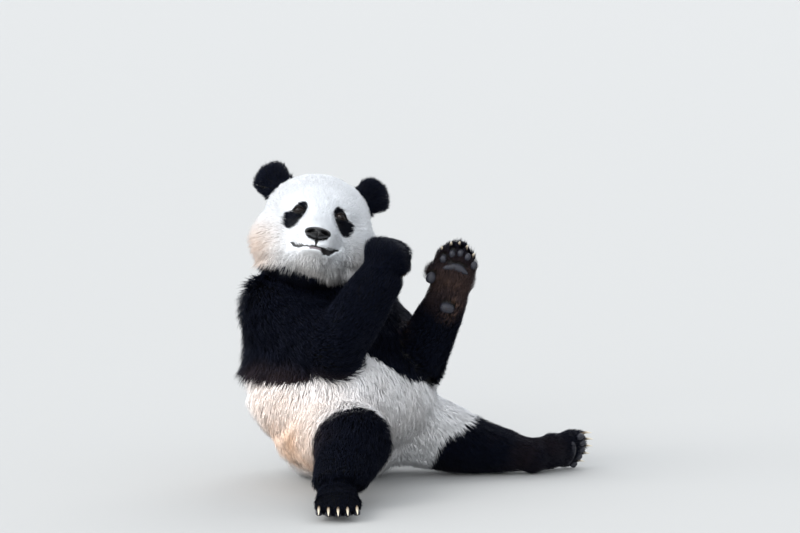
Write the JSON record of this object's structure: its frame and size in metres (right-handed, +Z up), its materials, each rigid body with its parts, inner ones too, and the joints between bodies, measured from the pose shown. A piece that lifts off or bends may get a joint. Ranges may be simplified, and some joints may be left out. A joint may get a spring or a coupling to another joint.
{
  "type": "giant panda",
  "caption": "Still, life-size giant panda sitting upright with its hind legs spread, a forepaw closed beside the mouth and the other raised with its palm open.",
  "frame": {"origin": "centre of the flat under the rump where the animal sits on the floor", "axes": "+Z is up from the floor; the trunk faces -Y; +X is the animal's own left side"},
  "size_m": [1.13, 0.8202, 0.8946],
  "materials": {
    "white_fur": "matte",
    "black_fur": "matte",
    "bare_skin": "satin",
    "claw": "satin",
    "eye": "gloss"
  },
  "bodies": {
    "root": {"head": "white_fur", "lower_jaw": "white_fur", "neck": "white_fur", "belly": "white_fur", "tail": "white_fur", "thigh_left": "white_fur", "thigh_right": "white_fur", "ear_left": "black_fur", "ear_right": "black_fur", "chest": "black_fur", "upper_arm_left": "black_fur", "upper_arm_right": "black_fur", "forearm_left": "black_fur", "forearm_right": "black_fur", "forepaw_left": "black_fur", "forepaw_right": "black_fur", "shank_left": "black_fur", "shank_right": "black_fur", "hindfoot_left": "black_fur", "hindfoot_right": "black_fur", "eye_left": "eye", "eye_right": "eye", "nose": "bare_skin"}
  },
  "joints": []
}
